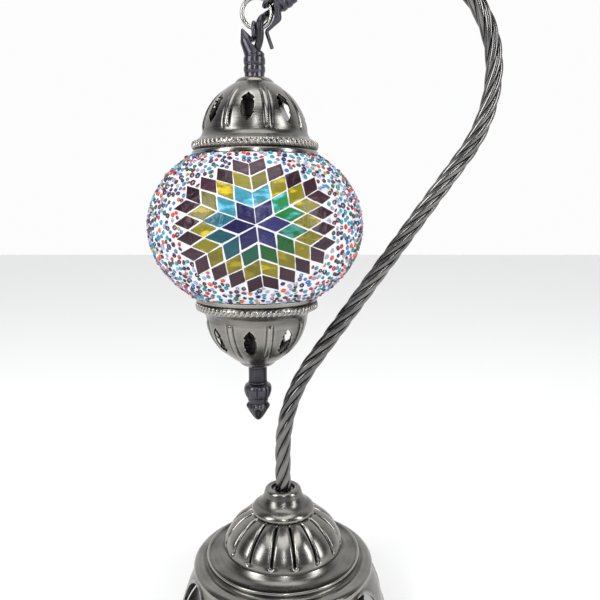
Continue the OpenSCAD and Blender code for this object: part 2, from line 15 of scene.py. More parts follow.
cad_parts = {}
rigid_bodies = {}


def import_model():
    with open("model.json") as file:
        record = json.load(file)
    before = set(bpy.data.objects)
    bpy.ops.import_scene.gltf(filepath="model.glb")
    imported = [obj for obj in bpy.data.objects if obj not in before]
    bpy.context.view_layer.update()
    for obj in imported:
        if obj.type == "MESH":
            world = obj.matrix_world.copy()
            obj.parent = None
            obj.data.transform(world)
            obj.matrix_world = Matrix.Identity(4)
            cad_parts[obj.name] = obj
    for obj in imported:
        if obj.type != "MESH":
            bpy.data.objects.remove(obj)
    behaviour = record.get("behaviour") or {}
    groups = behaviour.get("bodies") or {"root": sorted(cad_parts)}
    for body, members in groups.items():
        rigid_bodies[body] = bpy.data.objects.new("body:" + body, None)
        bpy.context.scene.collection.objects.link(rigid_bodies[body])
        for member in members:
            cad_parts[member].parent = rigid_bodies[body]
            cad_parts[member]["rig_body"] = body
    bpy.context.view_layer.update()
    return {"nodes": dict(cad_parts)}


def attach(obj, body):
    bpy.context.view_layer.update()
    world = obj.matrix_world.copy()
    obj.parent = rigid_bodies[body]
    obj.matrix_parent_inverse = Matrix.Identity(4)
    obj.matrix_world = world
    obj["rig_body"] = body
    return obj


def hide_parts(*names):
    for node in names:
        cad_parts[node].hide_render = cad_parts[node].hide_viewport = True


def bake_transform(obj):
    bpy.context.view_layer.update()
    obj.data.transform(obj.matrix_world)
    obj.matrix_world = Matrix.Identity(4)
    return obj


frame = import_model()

MM = 0.001
LANTERN_X = -16  # the lantern hangs on an upright axis, this many mm from the base's own
random.seed(7)

# %% [markdown]
# ## Camera and light
# The lamp is looked at from slightly above the globe, from close by, so the base is seen well from
# above. A longer lens from further off would flatten the base's rings, so the place and the lens
# were chosen together.

# %% Camera and floor
camera_data = bpy.data.cameras.new("camera")
camera_data.lens = 36.6
camera = bpy.data.objects.new("camera", camera_data)
camera.location = (0.0113, -0.383, 0.276)
camera.rotation_euler = (math.radians(90 - 8.9), 0, 0)
bpy.context.collection.objects.link(camera)
bpy.context.scene.camera = camera


def plain_finish(name, colour, roughness):
    material = bpy.data.materials.new(name)
    material.use_nodes = True
    shader = material.node_tree.nodes["Principled BSDF"]
    shader.inputs["Base Color"].default_value = (*colour, 1)
    shader.inputs["Roughness"].default_value = roughness
    return material


bpy.ops.object.select_all(action="DESELECT")
bpy.ops.mesh.primitive_plane_add(size=6, location=(0, 0, 0))
floor = bpy.context.object
floor.name = "floor"
floor.data.materials.append(plain_finish("pale_floor", (0.9, 0.9, 0.9), 0.7))


# %% [markdown]
# Antique metal shows only what it reflects, so the light is built from shapes with edges: a tall
# soft box on each side, a narrow strip in front for the bright line down each round piece, and a
# wide soft sun from above that lights the plaster and the floor evenly.


# %% Lights
def soft_box(name, place, width, height, power):
    """A rectangular light that looks at the middle of the lamp."""
    data = bpy.data.lights.new(name, "AREA")
    data.shape = "RECTANGLE"
    data.size = width
    data.size_y = height
    data.energy = power
    light = bpy.data.objects.new(name, data)
    light.location = place
    light.rotation_euler = (LAMP_MIDDLE - Vector(place)).to_track_quat("-Z", "Y").to_euler()
    bpy.context.collection.objects.link(light)


LAMP_MIDDLE = Vector((0.02, 0, 0.22))
soft_box("window_left", (-0.9, -0.7, 0.75), 0.4, 0.9, 9)
soft_box("window_right", (1.0, -0.5, 0.6), 0.25, 0.9, 6)
sun_data = bpy.data.lights.new("skylight", "SUN")
sun_data.energy = 1.55
sun_data.angle = math.radians(50)
skylight = bpy.data.objects.new("skylight", sun_data)
skylight.rotation_euler = (math.radians(12), 0, 0)
bpy.context.collection.objects.link(skylight)
soft_box("front_strip", (0.10, -1.25, 0.85), 0.1, 0.9, 4)

# %% [markdown]
# A photographer's table has bright paper behind the object and a dim room in front of it. The
# metal mirrors both, which gives it bright outlines and dark middles. A colour ramp along Y makes
# that surrounding, and the paper that is seen directly stays one even pale tone.

# %% Backdrop: bright paper behind the lamp, a dim room in front of it
world = bpy.data.worlds.new("studio")
world.use_nodes = True
world_nodes, wires = world.node_tree.nodes, world.node_tree.links
paper = world_nodes["Background"]
paper.inputs["Strength"].default_value = 1.0
room = world_nodes.new("ShaderNodeValToRGB")
for at, grey in ((0.0, 0.12), (0.30, 0.03), (0.52, 0.05), (0.66, 0.85), (1.0, 1.0)):
    stop = room.color_ramp.elements[0] if at == 0 else room.color_ramp.elements.new(at)
    stop.position = at
    stop.color = (grey, grey * 1.01, grey * 1.03, 1)
room.color_ramp.elements.remove(room.color_ramp.elements[-1])
facing = world_nodes.new("ShaderNodeSeparateXYZ")
wires.new(world_nodes.new("ShaderNodeTexCoord").outputs["Generated"], facing.inputs[0])
front_to_back = world_nodes.new("ShaderNodeMath")
front_to_back.operation = "MULTIPLY_ADD"
front_to_back.inputs[1].default_value = 0.5
front_to_back.inputs[2].default_value = 0.5
wires.new(facing.outputs["Y"], front_to_back.inputs[0])
wires.new(front_to_back.outputs[0], room.inputs[0])
seen = world_nodes.new("ShaderNodeMix")
seen.data_type = "RGBA"
seen.inputs[7].default_value = (0.98, 0.98, 0.985, 1)
wires.new(world_nodes.new("ShaderNodeLightPath").outputs["Is Camera Ray"], seen.inputs[0])
wires.new(room.outputs[0], seen.inputs[6])
wires.new(seen.outputs[2], paper.inputs["Color"])
bpy.context.scene.world = world
bpy.context.scene.view_settings.view_transform = "Standard"

# %% [markdown]
# ## A short way to write finishes
# Shader maths reads better as an expression. `Sock` wraps a node's output so that `1 - mask * 2`
# adds the Math nodes, and `Finish.node` adds any other node in one line.


# %% Sockets as numbers
class Sock:
    def __init__(self, finish, socket):
        self.finish = finish
        self.socket = socket

    def maths(self, operation, a, b):
        return self.finish.node("Math", {"operation": operation}, a, b)

    def __add__(self, other):
        return self.maths("ADD", self, other)

    def __radd__(self, other):
        return self.maths("ADD", other, self)

    def __sub__(self, other):
        return self.maths("SUBTRACT", self, other)

    def __rsub__(self, other):
        return self.maths("SUBTRACT", other, self)

    def __mul__(self, other):
        return self.maths("MULTIPLY", self, other)

    def __rmul__(self, other):
        return self.maths("MULTIPLY", other, self)


class Finish:
    def __init__(self, name):
        self.material = bpy.data.materials.new(name)
        self.material.use_nodes = True
        self.tree = self.material.node_tree
        self.shader = self.tree.nodes["Principled BSDF"]
        place = self.tree.nodes.new("ShaderNodeTexCoord")
        self.place = Sock(self, place.outputs["Object"])

    def node(self, kind, settings, *values, out=0, **named):
        made = self.tree.nodes.new("ShaderNode" + kind)
        for key, value in settings.items():
            if key == "stops":
                ramp = made.color_ramp
                while len(ramp.elements) < len(value):
                    ramp.elements.new(1)
                for element, (at, colour) in zip(ramp.elements, value):
                    element.position = at
                    element.color = (*colour, 1)
            else:
                setattr(made, key, value)
        for index, value in enumerate(values):
            self.join(value, made.inputs[index])
        for key, value in named.items():
            self.join(value, made.inputs[key.replace("_", " ")])
        return Sock(self, made.outputs[out])

    def join(self, value, socket):
        if isinstance(value, Sock):
            self.tree.links.new(value.socket, socket)
        elif isinstance(value, tuple) and len(value) == 3 and len(socket.default_value) == 4:
            socket.default_value = (*value, 1)
        else:
            socket.default_value = value

    def set(self, **named):
        for key, value in named.items():
            self.join(value, self.shader.inputs[key.replace("_", " ")])
        return self

    def mix(self, factor, a, b):
        made = self.tree.nodes.new("ShaderNodeMix")
        made.data_type = "RGBA"
        for socket, value in zip((made.inputs[0], made.inputs[6], made.inputs[7]), (factor, a, b)):
            self.join(value, socket)
        return Sock(self, made.outputs[2])

    def noise(self, scale, detail=3, place=None):
        return self.node("TexNoise", {}, Vector=place or self.place, Scale=scale, Detail=detail)

    def stretched(self, scale):
        return self.node("Mapping", {}, Vector=self.place, Scale=scale)

    def ramp(self, value, *stops):
        return self.node("ValToRGB", {"stops": stops}, value)

    def bump(self, height, strength, distance):
        bump = self.node("Bump", {}, Strength=strength, Distance=distance, Height=height)
        self.set(Normal=bump)
        return self

    def attribute(self, name):
        return self.node("Attribute", {"attribute_name": name}, out=2)


# %% [markdown]
# ## Finishes for the metal
# The big pieces are steel with an antique plate: plain grey where it was buffed, nearly black where
# the patina stays in the grooves. Each such piece carries a `worn` attribute, 0 deep in a groove
# and 1 on a crest, and the finish mixes the two by it, with fine lines from the buffing wheel.


# %% Antique plate
def antique_plate(name, bright, dark, lines=(60, 60, 1400), roughness=0.19):
    f = Finish(name)
    buffing = f.noise(1.0, 2, f.stretched(lines))
    cloud = f.noise(45, 4)
    worn = f.attribute("worn")
    mask = f.node("Clamp", {}, worn * 1.5 - 0.5 + (cloud - 0.5) * 0.6 + (buffing - 0.5) * 0.25)
    colour = f.mix(mask, dark, bright)
    warm = f.mix(cloud, colour, tuple(c * k for c, k in zip(bright, (1.15, 1.0, 0.8))))
    f.set(Base_Color=f.mix(mask * 0.6, colour, warm), Metallic=1.0)
    f.set(Roughness=roughness + 0.2 * (1 - mask) + (buffing - 0.5) * 0.14)
    f.bump(buffing, 0.08, 0.0002)
    return f.material


antique_brass = antique_plate("antique_brass", (0.37, 0.37, 0.36), (0.006, 0.006, 0.0065), roughness=0.14)
antique_rope = antique_plate(
    "antique_rope", (0.30, 0.305, 0.315), (0.003, 0.003, 0.0035), (160, 160, 160), 0.14
)
gunmetal = antique_plate("gunmetal", (0.14, 0.14, 0.17), (0.012, 0.012, 0.016), (300, 300, 120), 0.2)

# %% [markdown]
# The screws, nuts, clips and the ring are plain steel or brass, turned or drawn, so one finish with
# a cloudy tone and fine scratches serves them all. The iron weight is as rough as the sand that it
# was cast in.


# %% Plain metals of the small pieces
def turned_metal(name, colour, roughness, lines=900, depth=0.1):
    f = Finish(name)
    cloud = f.noise(120, 3)
    scratches = f.noise(1.0, 2, f.stretched((lines, lines, lines / 6)))
    f.set(Base_Color=f.mix(cloud, tuple(c * 0.75 for c in colour), colour), Metallic=1.0)
    f.set(Roughness=roughness + (scratches - 0.5) * 0.2)
    f.bump(scratches, depth, 0.0002)
    return f.material


zinc_steel = turned_metal("zinc_steel", (0.62, 0.62, 0.60), 0.35)
ring_steel = turned_metal("ring_steel", (0.45, 0.44, 0.42), 0.2, 40, 0.02)
dark_steel = turned_metal("dark_steel", (0.16, 0.16, 0.165), 0.3)
bright_brass = turned_metal("bright_brass", (0.72, 0.55, 0.25), 0.25)
filament_wire = turned_metal("filament_wire", (0.35, 0.35, 0.36), 0.4)


def cast_iron():
    f = Finish("cast_iron")
    sand = f.noise(900, 4)
    f.set(Base_Color=f.mix(sand, (0.03, 0.03, 0.03), (0.09, 0.085, 0.08)), Metallic=0.6, Roughness=0.7)
    f.bump(sand, 0.5, 0.0006)
    return f.material


weight_iron = cast_iron()

# %% [markdown]
# ## Finishes for glass, plaster, plastic, rubber and felt
# The tiles are cut from sheet glass: each tile has its own shade, from an attribute. Painted glints,
# bright streaks that stand in for light caught inside the glass, run through it. The tiles are backed
# by white plaster, so they are modelled as glossy colour.


# %% Glass of the tiles, with painted glints
def glass_with_painted_glints(name, deep, light, glint_colour, glint_from, other=None):
    f = Finish(name)
    shade = f.attribute("shade")
    wander = f.noise(70, 3)
    glint_streaks = f.noise(1.0, 3, f.stretched((90, 90, 230)))
    colour = f.mix(f.node("Clamp", {}, shade * 0.75 + (wander - 0.5) * 0.9), deep, light)
    if other:
        colour = f.mix(f.attribute("tint"), colour, f.mix(shade, tuple(c * 0.35 for c in other), other))
    # Painted glints: bright streaks of a lighter colour, stronger on lighter tiles, stand in for light
    # caught in the glass.
    painted_glints = f.ramp(glint_streaks, (glint_from, (0, 0, 0)), (glint_from + 0.1, (1, 1, 1)))
    f.set(Base_Color=f.mix(painted_glints * shade, colour, glint_colour))
    f.set(Roughness=0.2 + 0.2 * wander, Coat_Weight=0.08, Coat_Roughness=0.05, IOR=1.4)
    f.bump(f.noise(190, 3), 0.7, 0.0014)
    return f.material


# For each glass: its deep and light tone, the colour of its painted glints, where in the streak noise the
# painted glints start, and for teal a second, green tone.
GLASS = {
    "indigo": ((0.010, 0.010, 0.065), (0.06, 0.06, 0.22), (0.15, 0.14, 0.40), 0.58),
    "teal": ((0.005, 0.07, 0.10), (0.05, 0.33, 0.46), (0.16, 0.62, 0.85), 0.52, (0.02, 0.26, 0.05)),
    "gold": ((0.12, 0.11, 0.003), (0.30, 0.26, 0.006), (0.85, 0.60, 0.005), 0.54),
    "plum": ((0.020, 0.004, 0.010), (0.060, 0.016, 0.034), (0.13, 0.05, 0.10), 0.63),
}
tile_glass = {colour: glass_with_painted_glints(colour + "_glass", *shades) for colour, shades in GLASS.items()}

# %% [markdown]
# Bead glass is evenly coloured and a little glossy. Plaster is chalky with small lumps and a faint
# lilac stain. The flex and the lampholder are moulded, so they have a fine grain, and felt has
# fibres and a soft sheen. Clear glass is thin here, so it is see-through by its alpha alone.


# %% Bead glass, plaster and the rest
def bead_glass(name, colour):
    f = Finish(name)
    cloud = f.noise(300, 2)
    thick, thin = tuple(c * 0.55 for c in colour), tuple(min(1, c * 1.25) for c in colour)
    f.set(Base_Color=f.mix(cloud, thick, thin))
    f.set(Roughness=0.1 + 0.1 * cloud, Coat_Weight=0.35, Coat_Roughness=0.05)
    return f.material


def soft_plaster():
    f = Finish("plaster")
    lumps = f.noise(420, 4)
    stain = f.noise(60, 3)
    f.set(Base_Color=f.mix(stain, (0.93, 0.92, 0.95), (0.80, 0.80, 0.86)), Roughness=0.62)
    f.bump(lumps, 0.5, 0.0007)
    return f.material


def mould_plastic(name, dark, light, roughness, grain):
    f = Finish(name)
    speck = f.noise(grain, 3)
    f.set(Base_Color=f.mix(speck, dark, light), Roughness=roughness + (speck - 0.5) * 0.15)
    f.bump(speck, 0.15, 0.0003)
    return f.material


def felt_cloth():
    f = Finish("felt")
    fibres = f.noise(2500, 5)
    f.set(Base_Color=f.mix(fibres, (0.01, 0.012, 0.01), (0.05, 0.055, 0.05)))
    f.set(Roughness=0.95, Sheen_Weight=0.4)
    f.bump(fibres, 0.6, 0.0005)
    return f.material


def clear_glass(name, tint, alpha):
    f = Finish(name)
    seeds = f.noise(90, 3)
    f.set(Base_Color=f.mix(seeds, tint, tuple(c * 0.93 for c in tint)))
    f.set(Roughness=0.05 + 0.05 * seeds, Alpha=alpha)
    return f.material


plaster = soft_plaster()
black_flex = mould_plastic("black_flex", (0.006, 0.006, 0.008), (0.014, 0.014, 0.018), 0.32, 700)
dark_resin = mould_plastic("dark_resin", (0.012, 0.011, 0.010), (0.03, 0.027, 0.024), 0.35, 500)
felt = felt_cloth()
globe_glass = clear_glass("globe_glass", (0.9, 0.93, 0.92), 0.45)
bulb_glass = clear_glass("bulb_glass", (0.95, 0.95, 0.94), 0.4)

# %% [markdown]
# ## Hands: turning, walls, wear
# Most of the lamp is spun sheet. Its maker presses a disc against a wooden chuck on a lathe, and a
# chuck has no sharp corners, so the few points of each profile are first joined by a smooth curve.
# A lathe's work could also be a curve object with a screw modifier. A mesh is used instead, because
# its walls are pressed, pierced and given wear afterwards.


# %% Smooth profiles
def smooth(points, per=4):
    """Run a smooth curve through the points, with some steps from each point to the next."""
    points = [Vector(p) for p in points]
    ends = [2 * points[0] - points[1]] + points + [2 * points[-1] - points[-2]]
    path = []
    for i in range(len(points) - 1):
        p0, p1, p2, p3 = ends[i : i + 4]
        for k in range(per):
            t = k / per
            a = 2 * p1 + (p2 - p0) * t + (2 * p0 - 5 * p1 + 4 * p2 - p3) * t * t
            path.append((a + (3 * p1 - p0 - 3 * p2 + p3) * t**3) / 2)
    return path + [points[-1]]


# %% [markdown]
# A turned piece starts as one vertex that is extruded along its profile and spun round the upright
# axis. Solidify gives the sheet its thickness, inwards, so the outside keeps its size. Pressing
# moves each vertex by its place round the piece, which is how lobes and ribs are raised.


# %% Turning
def start_vertex(name, place):
    bpy.ops.object.select_all(action="DESELECT")
    bpy.ops.mesh.primitive_plane_add(size=0.001, location=(0, 0, 0))
    piece = bpy.context.object
    piece.name = name
    bpy.ops.object.mode_set(mode="EDIT")
    bpy.ops.mesh.merge(type="CENTER")
    bpy.ops.transform.translate(value=place)
    return piece


def turned(name, profile, steps=192, per=4):
    """Spin a smooth (radius, height) profile in mm round the upright axis."""
    path = smooth(profile, per) if per > 1 else [Vector(p) for p in profile]
    piece = start_vertex(name, (path[0].x * MM, 0, path[0].y * MM))
    for before, after in zip(path, path[1:]):
        step = (after - before) * MM
        bpy.ops.mesh.extrude_vertices_move(TRANSFORM_OT_translate={"value": (step.x, 0, step.y)})
    bpy.ops.mesh.select_all(action="SELECT")
    bpy.ops.mesh.spin(steps=steps, angle=math.tau, center=(0, 0, 0), axis=(0, 0, 1))
    bpy.ops.mesh.select_all(action="SELECT")
    bpy.ops.mesh.remove_doubles(threshold=1e-6)
    bpy.ops.mesh.normals_make_consistent(inside=False)
    bpy.ops.object.mode_set(mode="OBJECT")
    return piece


def modify(piece, kind, **settings):
    bpy.context.view_layer.objects.active = piece
    modifier = piece.modifiers.new(kind.title(), kind)
    for key, value in settings.items():
        setattr(modifier, key, value)
    bpy.ops.object.modifier_apply(modifier=modifier.name)
    return piece


def walled(piece, thickness):
    return modify(piece, "SOLIDIFY", thickness=thickness * MM, offset=-1)


def press(piece, move):
    """Move every vertex: move(azimuth, radius, height) in mm gives the new radius and height."""
    for vertex in piece.data.vertices:
        x, y, z = vertex.co / MM
        azimuth, radius = math.atan2(y, x), math.hypot(x, y)
        radius, height = move(azimuth, radius, z)
        vertex.co = Vector((radius * math.cos(azimuth), radius * math.sin(azimuth), height)) * MM


# %% [markdown]
# Antique plate is blackened all over and then buffed, which leaves the black in the hollows. So the
# wear comes from the shape itself: where a vertex's neighbours stand above its surface it lies in a
# hollow. Painting it by hand would also work, but every groove would have to be found again.


# %% Wear from the shape, and the last steps of every piece
def add_wear(piece, base=0.62, gain=2.5, rounds=2):
    """Give the mesh its worn attribute, 0 in a hollow and 1 on a crest, spread over some rounds."""
    mesh = piece.data
    count = len(mesh.vertices)
    places = np.empty(count * 3)
    normals = np.empty(count * 3)
    ends = np.empty(len(mesh.edges) * 2, dtype=np.int64)
    mesh.vertices.foreach_get("co", places)
    mesh.vertices.foreach_get("normal", normals)
    mesh.edges.foreach_get("vertices", ends)
    places, normals, (a, b) = places.reshape(-1, 3), normals.reshape(-1, 3), ends.reshape(-1, 2).T
    step = places[b] - places[a]
    length = np.linalg.norm(step, axis=1) + 1e-9
    rise_a = (step * normals[a]).sum(1) / length
    rise_b = -(step * normals[b]).sum(1) / length
    near = np.bincount(a, minlength=count) + np.bincount(b, minlength=count) + 1e-9
    hollow = (np.bincount(a, rise_a, count) + np.bincount(b, rise_b, count)) / near
    for _ in range(rounds):
        around = np.bincount(a, hollow[b], count) + np.bincount(b, hollow[a], count)
        hollow = (hollow + around / near) / 2
    worn = np.clip(base - gain * hollow, 0, 1)
    wear = mesh.attributes.get("worn") or mesh.attributes.new("worn", "FLOAT", "POINT")
    wear.data.foreach_set("value", worn.astype(np.float32))


def finish_piece(piece, material, body, *nodes, angle=35):
    """Shade a piece, give it its finish and body, and let it stand for the nodes it replaces."""
    bpy.ops.object.select_all(action="DESELECT")
    bpy.context.view_layer.objects.active = piece
    piece.select_set(True)
    bpy.ops.object.shade_smooth_by_angle(angle=math.radians(angle))
    piece.data.materials.clear()
    piece.data.materials.append(material)
    if body:
        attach(piece, body)
    if nodes:
        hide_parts(*nodes)
    print(piece.name, len(piece.data.polygons), "faces")
    return piece


# %% [markdown]
# The windows are punched through the sheet. Deleting faces would leave stepped edges, so each one
# is cut by a slug of metal in the window's outline, with a boolean, which gives clean walls.


# %% Cutting windows
def cut_away(piece, cutters):
    bpy.ops.object.select_all(action="DESELECT")
    for cutter in cutters:
        cutter.select_set(True)
    bpy.context.view_layer.objects.active = cutters[0]
    if len(cutters) > 1:
        bpy.ops.object.join()
    modify(piece, "BOOLEAN", operation="DIFFERENCE", object=cutters[0], solver="EXACT")
    bpy.data.objects.remove(cutters[0], do_unlink=True)
    return piece


def slug(name, outline, near, far, azimuth):
    """A cutter with the (across, height) outline in mm, from radius near to far, at an azimuth."""
    piece = start_vertex(name, (near * MM, outline[0][0] * MM, outline[0][1] * MM))
    for before, after in zip(outline, outline[1:]):
        step = (Vector(after) - Vector(before)) * MM
        bpy.ops.mesh.extrude_vertices_move(TRANSFORM_OT_translate={"value": (0, step.x, step.y)})
    bpy.ops.mesh.select_all(action="SELECT")
    bpy.ops.mesh.edge_face_add()
    bpy.ops.mesh.extrude_region_move(TRANSFORM_OT_translate={"value": ((far - near) * MM, 0, 0)})
    bpy.ops.mesh.select_all(action="SELECT")
    bpy.ops.mesh.normals_make_consistent(inside=False)
    bpy.ops.object.mode_set(mode="OBJECT")
    piece.data.transform(Matrix.Rotation(azimuth, 4, "Z"))
    return piece


# %% [markdown]
# ## The foot
# The foot is a spun skirt pierced by six arched windows, a stepped plinth, a dome pressed into
# sixteen lobes and a small collar that the arm comes out of. The skirt comes first. The raised
# border round each window is pressed into the mesh in code, because it follows the distance from
# the window's edge.


# %% Skirt
SKIRT = [
    (58.6, 37.2), (59.8, 33), (62.4, 27.5), (64.8, 21.5), (66.6, 15.5), (67.4, 11.5), (68.5, 8.8),
    (69.3, 6.8), (69.3, 4.3), (68.5, 3.05),
]
WINDOWS, FIRST_ARCH = 6, math.radians(-36)
WINDOW_HALF, WINDOW_FOOT, WINDOW_TOP = 17, 9, 16.3


def arch(azimuth, radius, z):
    """How far a point of the skirt lies outside the nearest window's edge, in mm."""
    pitch = math.tau / WINDOWS
    across = ((azimuth - FIRST_ARCH + pitch / 2) % pitch - pitch / 2) * radius
    if z > WINDOW_TOP:
        return math.hypot(across, z - WINDOW_TOP) - WINDOW_HALF
    return max(abs(across) - WINDOW_HALF, WINDOW_FOOT - z)


def border(azimuth, radius, z):
    away = arch(azimuth, radius, z)
    raised = 0.9 * math.exp(-((away - 1.1) ** 2) / 0.7) * min(1, max(0, (z - 8) / 4))
    return radius + raised, z


skirt_shell = walled(turned("skirt_shell", SKIRT, 384, 5), 1.2)
press(skirt_shell, border)
arch_outline = [(-WINDOW_HALF, WINDOW_FOOT), (WINDOW_HALF, WINDOW_FOOT)]
for degrees in range(0, 181, 6):
    a = math.radians(degrees)
    arch_outline.append((WINDOW_HALF * math.cos(a), WINDOW_TOP + WINDOW_HALF * math.sin(a)))
azimuths = [FIRST_ARCH + i * math.tau / WINDOWS for i in range(WINDOWS)]
cut_away(skirt_shell, [slug("window", arch_outline, 45, 80, azimuth) for azimuth in azimuths])
add_wear(skirt_shell, 0.6, 2.2)
finish_piece(skirt_shell, antique_brass, "stand", "skirt")

# %% [markdown]
# The plinth and the collar are plain spun rings with rolled steps. Only their profiles differ, so
# both are turned and walled in the same way, with a thinner wall for the smaller one.

# %% Plinth and collar
PLINTH = [
    (38.2, 50.4), (40.2, 47.6), (42.5, 45.8), (45.6, 45), (48.6, 45.4), (50.6, 46.6), (51.2, 45.6),
    (51, 43.6), (52.4, 42.3), (55, 42.2), (57.8, 41.4), (59.6, 39.6), (60, 37.8),
]
COLLAR = [
    (8, 89.9), (10.2, 90.2), (11.7, 89.2), (12.4, 87.2), (13.1, 84.8), (14.4, 82.3), (16.4, 80.2),
    (18.9, 78.5), (20.5, 76.8), (20.9, 75), (20, 73.7),
]
plinth_shell = walled(turned("plinth_shell", PLINTH, 192, 6), 1.2)
add_wear(plinth_shell, 0.62, 3.5)
finish_piece(plinth_shell, antique_brass, "stand", "plinth")
collar_shell = walled(turned("collar_shell", COLLAR, 128, 6), 0.9)
add_wear(collar_shell, 0.55, 3.5)
finish_piece(collar_shell, antique_brass, "stand", "neck_collar")

# %% [markdown]
# The dome is spun smooth and then pressed in a die into sixteen lobes. Modelling one lobe and
# copying it round would leave seams where the lobes meet, so the whole dome is turned finely and
# every vertex is pressed at once: outwards in a lobe's middle and inwards along the groove.

# %% Fluted dome
DOME = [
    (39.5, 49.2), (39.3, 51.5), (38.4, 54.8), (36.8, 58.4), (34.4, 62), (31, 65.6), (26.8, 68.9),
    (22, 71.4), (18, 72.4),
]
LOBES = 16


def lobe(azimuth, radius, z):
    """A rounded lobe between narrow, deep grooves."""
    phase = ((azimuth - math.radians(1.5)) * LOBES / math.tau) % 1 - 0.5
    across = abs(phase) * math.tau / LOBES * radius
    deep = 1.9 * math.exp(-((across / 0.85) ** 2))
    crown = 0.9 * math.sin(min(1, abs(phase) * 2) * math.pi / 2) ** 0.8
    fade = min(1, max(0, (z - 51.5) / 2)) * min(1, max(0, (radius - 19) / 3))
    change = fade * (crown - deep - 0.8)
    slope = min(1, max(0, (z - 56) / 16))
    return radius + change * (1 - slope * 0.6), z + 1.3 + change * slope * 0.8


dome_shell = turned("dome_shell", list(reversed(DOME)), 384, 6)
press(dome_shell, lobe)
walled(dome_shell, 1.0)
add_wear(dome_shell, 0.62, 2.2, 3)
finish_piece(dome_shell, antique_brass, "stand", "fluted_dome")

# %% [markdown]
# ## The rope arm
# The arm follows a swan's neck: straight up, leaning out, back over the lantern and down to its
# claw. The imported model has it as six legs, straight or bent to a radius. The same legs are walked
# here, so the arm comes out exactly where the model has it.


# %% The route of the arm
def walk(x, z, heading, length, radius):
    """Walk a length in the XZ plane, straight or along a bend, and give the new place, in mm."""
    if radius:
        turn = length / radius
        x += radius * (math.cos(heading) - math.cos(heading + turn))
        z += radius * (math.sin(heading + turn) - math.sin(heading))
        return x, z, heading + turn
    return x + length * math.sin(heading), z + length * math.cos(heading), heading


ARM_LEGS = [  # each leg's length and radius, both in mm; a radius of 0 is a straight leg
    (35, 0), (math.radians(35.5) * 105, 105), (159.3, 0),
    (math.radians(35.5) * 85, -85), (math.radians(123) * 67, -67), (24, 0),
]
ARM_STARTS = [(0.0, 0.0, 80.0, 0.0)]
for length, radius in ARM_LEGS:
    s, x, z, heading = ARM_STARTS[-1]
    ARM_STARTS.append((s + length, *walk(x, z, heading, length, radius)))
ARM_LENGTH = ARM_STARTS[-1][0]


def on_arm(s):
    """The arm's centre and heading at a length s along it."""
    index = max(i for i, start in enumerate(ARM_STARTS[:-1]) if s >= start[0] or i == 0)
    start, x, z, heading = ARM_STARTS[index]
    x, z, heading = walk(x, z, heading, s - start, ARM_LEGS[index][1])
    return Vector((x, 0, z)), heading


print("arm", round(ARM_LENGTH, 1), "mm, ends at", on_arm(ARM_LENGTH))

# %% [markdown]
# The arm is a cast tube whose five strands twist round it. A circle of sixty vertices is drawn in
# to five lobes, and a Screw modifier lifts and twists it into a straight rope. A curve with a
# bevelled outline could follow the bend on its own, but it doesn't twist evenly, so the straight
# rope is bent along the legs in code.

# %% A straight rope, then the bend
STRANDS, TWIST_LENGTH, ROPE_RADIUS, GROOVE = 5, 66, 5.22, 1.15
bpy.ops.object.select_all(action="DESELECT")
bpy.ops.mesh.primitive_circle_add(vertices=60, radius=ROPE_RADIUS * MM, location=(0, 0, 0))
rope_arm = bpy.context.object
rope_arm.name = "rope_arm"
for vertex in rope_arm.data.vertices:
    around = math.atan2(vertex.co.y, vertex.co.x)
    strand = abs(math.cos(STRANDS * around / 2)) ** 0.8
    vertex.co *= (ROPE_RADIUS - GROOVE * (1 - strand)) / ROPE_RADIUS
modify(
    rope_arm, "SCREW", axis="Z", angle=math.tau * ARM_LENGTH / TWIST_LENGTH,
    screw_offset=ARM_LENGTH * MM, steps=300, render_steps=300, use_smooth_shade=True,
)
for vertex in rope_arm.data.vertices:
    x, y, s = vertex.co / MM
    centre, heading = on_arm(min(s, ARM_LENGTH))
    vertex.co = (centre + Vector((x * math.cos(heading), y, -x * math.sin(heading)))) * MM
bpy.context.view_layer.objects.active = rope_arm
bpy.ops.object.mode_set(mode="EDIT")
bpy.ops.mesh.select_all(action="SELECT")
bpy.ops.mesh.normals_make_consistent(inside=False)
bpy.ops.object.mode_set(mode="OBJECT")
add_wear(rope_arm, 0.46, 2.6, 1)
finish_piece(rope_arm, antique_rope, "stand", "arm_tube", angle=60)

# %% [markdown]
# ## The mosaic globe
# The globe is plain blown glass. Cut glass tiles are set on it in three stars of rhombi, and
# plaster holds thousands of seed beads between the stars. Every piece needs its place on the globe,
# so the globe and the stars come first: a star is flat in its own steps along two tile edges, and
# is wrapped on the globe from its middle outwards.

# %% Places on the globe
GLOBE = Vector((LANTERN_X, 0, 262.3))
WIDE, HIGH = 65.15, 52.55
TILE, GROUT, TILE_THICK = 10.9, 0.95, 1.3
STARS, STAR_TILT, STAR_AZIMUTH, STAR_RISE = 3, math.radians(5), -86, math.radians(3.3)
STAR_REACH = 4.6  # no tile lies further than this from its star's middle, in tile edges


def star_direction(u, v, sector):
    """The direction, on a unit globe, of the (u, v) corner of a tile in one of six sectors."""
    along = sector * math.pi / 3 + STAR_TILT
    beside = along + math.pi / 3
    p = (u * math.cos(along) + v * math.cos(beside), u * math.sin(along) + v * math.sin(beside))
    reach = math.hypot(*p)
    turn = reach * TILE / WIDE
    if reach < 1e-9:
        return Vector((1, 0, 0))
    return Vector((math.cos(turn), -math.sin(turn) * p[1] / reach, math.sin(turn) * p[0] / reach))


def star_turn(star):
    azimuth = math.radians(STAR_AZIMUTH + 360 / STARS * star)
    return Matrix.Rotation(azimuth, 3, "Z") @ Matrix.Rotation(-STAR_RISE, 3, "Y")


